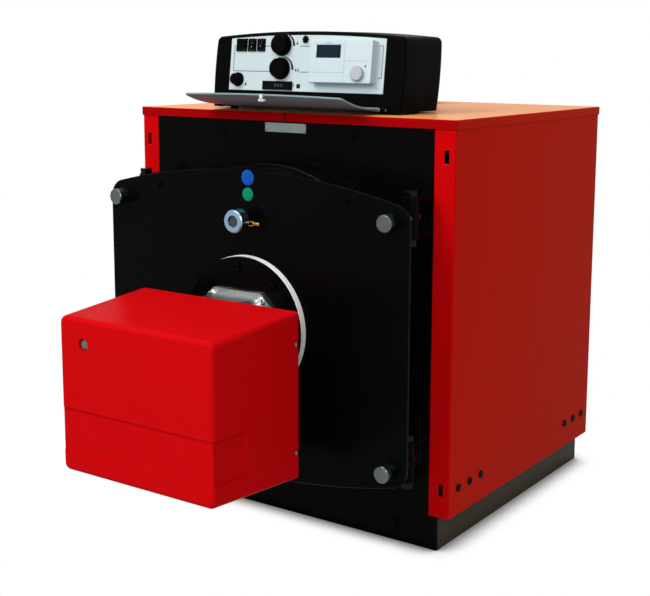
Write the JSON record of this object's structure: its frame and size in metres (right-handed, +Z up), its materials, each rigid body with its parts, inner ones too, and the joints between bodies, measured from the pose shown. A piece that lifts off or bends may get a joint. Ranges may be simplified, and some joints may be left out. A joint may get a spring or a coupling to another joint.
{
  "type": "hot-water boiler with swing-out burner door",
  "caption": "Floor-standing steel hot-water boiler: red sheet casing, arched black burner door on side hinges, hooded burner, and a control panel on top.",
  "frame": {"origin": "on the floor, under the middle of the whole object's box", "axes": "+X to the right seen from the front, +Y from the burner to the flue, +Z up"},
  "size_m": [0.751, 1.213, 0.957],
  "materials": {
    "black_steel": "satin black stove enamel",
    "red_sheet": "glossy red powder coat",
    "vessel_steel": "bare dark mill steel",
    "zinc_steel": "bright zinc plate",
    "refractory": "pale refractory fibre",
    "rope_seal": "woven sealing rope",
    "gasket": "white board gasket",
    "cast_aluminium": "raw casting",
    "red_plastic": "satin moulded red",
    "brass": "turned",
    "lens_glass": "heat-proof sight glass",
    "black_plastic": "moulded black",
    "smoked_plastic": "smoked clear sheet",
    "fascia_white": "pale printed film",
    "controller_white": "moulded white",
    "screen": "dark display",
    "grey_plastic": "moulded grey"
  },
  "bodies": {
    "boiler": {"front_plate": "black_steel", "rear_plate": "red_sheet", "base_rails": "black_steel", "boiler_shell": "vessel_steel", "front_collar": "black_steel", "front_tube_plate": "vessel_steel", "rear_tube_plate": "vessel_steel", "furnace_tube": "vessel_steel", "smoke_tubes": "vessel_steel", "turbulators": "zinc_steel", "smoke_box": "black_steel", "smoke_box_back": "black_steel", "flue_collar": "zinc_steel", "water_sockets": "black_steel", "drain_pipe": "black_steel", "side_panel_right": "red_sheet", "side_panel_left": "red_sheet", "side_plugs": "black_plastic", "top_cover_right": "red_sheet", "top_cover_left": "red_sheet", "hinge_brackets": "black_steel", "hinge_pins": "black_steel", "pivot_blocks_left": "black_steel", "housing_feet": "black_plastic", "control_housing": "black_plastic", "control_fascia": "fascia_white", "controller_unit": "controller_white", "controller_screen": "screen", "switch_frames": "black_plastic", "limit_cap": "black_plastic", "display_window": "screen"},
    "door": {"door_plate": "black_steel", "door_rim": "black_steel", "door_insulation": "refractory", "door_seal": "rope_seal", "tie_bolts": "zinc_steel", "pivot_blocks_right": "black_steel", "burner_gasket": "gasket", "burner_plate": "black_steel", "burner_flange": "cast_aluminium", "burner_neck": "cast_aluminium", "blast_tube": "vessel_steel", "burner_hood": "red_plastic", "sight_tube": "black_steel", "sight_nut": "zinc_steel", "sight_lens": "lens_glass", "pressure_nipple": "brass"},
    "thermostat_knob_upper": {"thermostat_knob_upper": "black_plastic"},
    "thermostat_knob_lower": {"thermostat_knob_lower": "black_plastic"},
    "controller_dial": {"controller_dial": "grey_plastic"},
    "main_rocker": {"main_rocker": "black_plastic"},
    "mode_rocker": {"mode_rocker": "black_plastic"},
    "test_rocker": {"test_rocker": "black_plastic"},
    "panel_flap": {"panel_flap": "smoked_plastic"}
  },
  "joints": [
    {"name": "door_hinge", "type": "hinge", "parent": "boiler", "child": "door", "pos_m": [0.316, -0.2425, 0.408], "axis": [0, 0, 1], "range_deg": [0, 100]},
    {"name": "thermostat_knob_upper_turn", "type": "hinge", "parent": "boiler", "child": "thermostat_knob_upper", "pos_m": [-0.0595, -0.11775, 0.93021], "axis": [0, -0.9925, 0.1219], "range_deg": [-135, 135]},
    {"name": "thermostat_knob_lower_turn", "type": "hinge", "parent": "boiler", "child": "thermostat_knob_lower", "pos_m": [-0.0595, -0.12341, 0.88406], "axis": [0, -0.9925, 0.1219], "range_deg": [-135, 135]},
    {"name": "controller_dial_turn", "type": "hinge", "parent": "boiler", "child": "controller_dial", "pos_m": [0.136, -0.14436, 0.87756], "axis": [0, -0.9925, 0.1219], "range_deg": [-135, 135]},
    {"name": "main_rocker_tilt", "type": "hinge", "parent": "boiler", "child": "main_rocker", "pos_m": [-0.162, -0.11969, 0.92995], "axis": [1, 0, 0], "range_deg": [0, 14]},
    {"name": "mode_rocker_tilt", "type": "hinge", "parent": "boiler", "child": "mode_rocker", "pos_m": [-0.1355, -0.11969, 0.92995], "axis": [1, 0, 0], "range_deg": [0, 14]},
    {"name": "test_rocker_tilt", "type": "hinge", "parent": "boiler", "child": "test_rocker", "pos_m": [-0.1125, -0.11969, 0.92995], "axis": [1, 0, 0], "range_deg": [0, 14]},
    {"name": "panel_flap_hinge", "type": "hinge", "parent": "boiler", "child": "panel_flap", "pos_m": [0, -0.141, 0.8115], "axis": [-1, 0, 0], "range_deg": [0, 60]}
  ]
}
